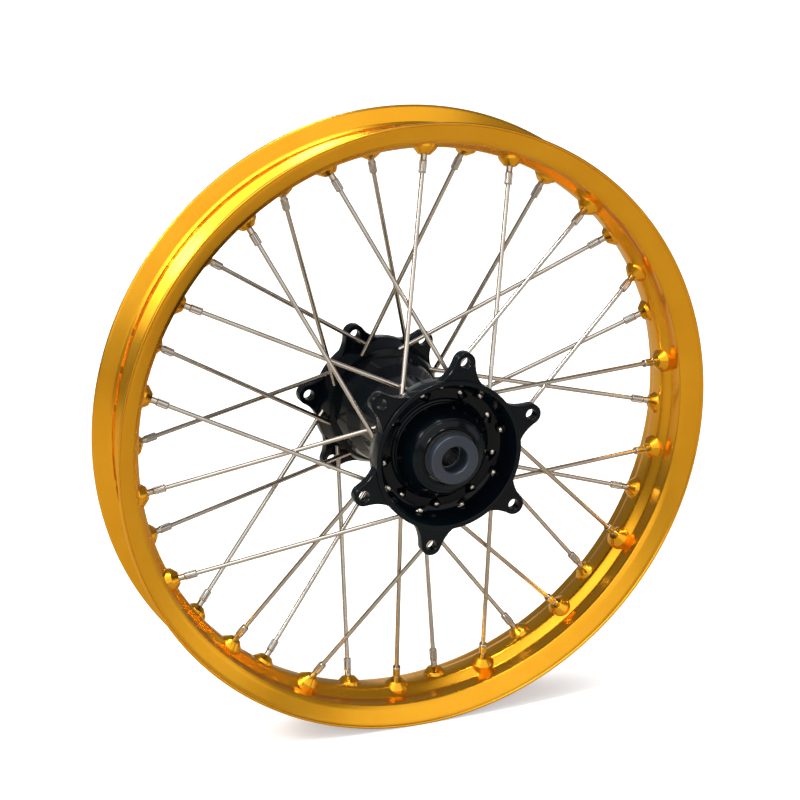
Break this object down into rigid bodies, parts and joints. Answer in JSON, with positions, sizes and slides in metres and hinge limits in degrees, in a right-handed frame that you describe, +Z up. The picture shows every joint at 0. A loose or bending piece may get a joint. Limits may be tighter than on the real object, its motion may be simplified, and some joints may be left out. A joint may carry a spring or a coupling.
{
  "type": "spoked motorcycle rear wheel",
  "caption": "Wire-spoked rear wheel of an off-road motorcycle: drop-centre rim, straight-pull spokes, billet hub with sprocket and disc lugs, ball bearings.",
  "frame": {"origin": "on the axle line, in the middle of the rim's width", "axes": "+Y along the axle towards the brake disc's side, so the sprocket's side faces -Y; +Z up"},
  "size_m": [0.4866, 0.1846, 0.4866],
  "materials": {
    "gold_anodised": "satin",
    "black_anodised": "gloss",
    "dark_grey_anodised": "matte",
    "stainless_spoke": "satin",
    "bearing_steel": "polished",
    "cage_steel": "satin",
    "seal_rubber": "matte",
    "plain_aluminium": "satin"
  },
  "bodies": {
    "axle_side": {"sprocket_spacer": "dark_grey_anodised", "disc_spacer": "dark_grey_anodised", "distance_tube": "plain_aluminium", "sprocket_bearing_inner_ring": "bearing_steel", "disc_bearing_inner_ring": "bearing_steel"},
    "wheel": {"rim": "gold_anodised", "hub": "black_anodised", "spoke_sprocket_out_1": "stainless_spoke", "spoke_sprocket_out_2": "stainless_spoke", "spoke_sprocket_out_3": "stainless_spoke", "spoke_sprocket_out_4": "stainless_spoke", "spoke_sprocket_out_5": "stainless_spoke", "spoke_sprocket_out_6": "stainless_spoke", "spoke_sprocket_out_7": "stainless_spoke", "spoke_sprocket_out_8": "stainless_spoke", "spoke_sprocket_out_9": "stainless_spoke", "spoke_sprocket_in_1": "stainless_spoke", "spoke_sprocket_in_2": "stainless_spoke", "spoke_sprocket_in_3": "stainless_spoke", "spoke_sprocket_in_4": "stainless_spoke", "spoke_sprocket_in_5": "stainless_spoke", "spoke_sprocket_in_6": "stainless_spoke", "spoke_sprocket_in_7": "stainless_spoke", "spoke_sprocket_in_8": "stainless_spoke", "spoke_sprocket_in_9": "stainless_spoke", "spoke_disc_in_1": "stainless_spoke", "spoke_disc_in_2": "stainless_spoke", "spoke_disc_in_3": "stainless_spoke", "spoke_disc_in_4": "stainless_spoke", "spoke_disc_in_5": "stainless_spoke", "spoke_disc_in_6": "stainless_spoke", "spoke_disc_in_7": "stainless_spoke", "spoke_disc_in_8": "stainless_spoke", "spoke_disc_in_9": "stainless_spoke", "spoke_disc_out_1": "stainless_spoke", "spoke_disc_out_2": "stainless_spoke", "spoke_disc_out_3": "stainless_spoke", "spoke_disc_out_4": "stainless_spoke", "spoke_disc_out_5": "stainless_spoke", "spoke_disc_out_6": "stainless_spoke", "spoke_disc_out_7": "stainless_spoke", "spoke_disc_out_8": "stainless_spoke", "spoke_disc_out_9": "stainless_spoke", "sprocket_bearing_outer_ring": "bearing_steel", "disc_bearing_outer_ring": "bearing_steel", "sprocket_seal": "seal_rubber", "disc_seal": "seal_rubber", "circlip": "bearing_steel"},
    "sprocket_ball_set": {"sprocket_bearing_balls": "cage_steel"},
    "disc_ball_set": {"disc_bearing_balls": "cage_steel"}
  },
  "joints": [
    {"name": "wheel_spin", "type": "hinge", "parent": "axle_side", "child": "wheel", "pos_m": [0, 0, 0], "axis": [0, 1, 0], "continuous": true},
    {"name": "sprocket_balls_spin", "type": "hinge", "parent": "axle_side", "child": "sprocket_ball_set", "pos_m": [0, 0, 0], "axis": [0, 1, 0], "continuous": true},
    {"name": "disc_balls_spin", "type": "hinge", "parent": "axle_side", "child": "disc_ball_set", "pos_m": [0, 0, 0], "axis": [0, 1, 0], "continuous": true}
  ],
  "couplings": [
    {"joint": "sprocket_balls_spin", "follows": "wheel_spin", "ratio": 0.6029},
    {"joint": "disc_balls_spin", "follows": "wheel_spin", "ratio": 0.6029}
  ]
}
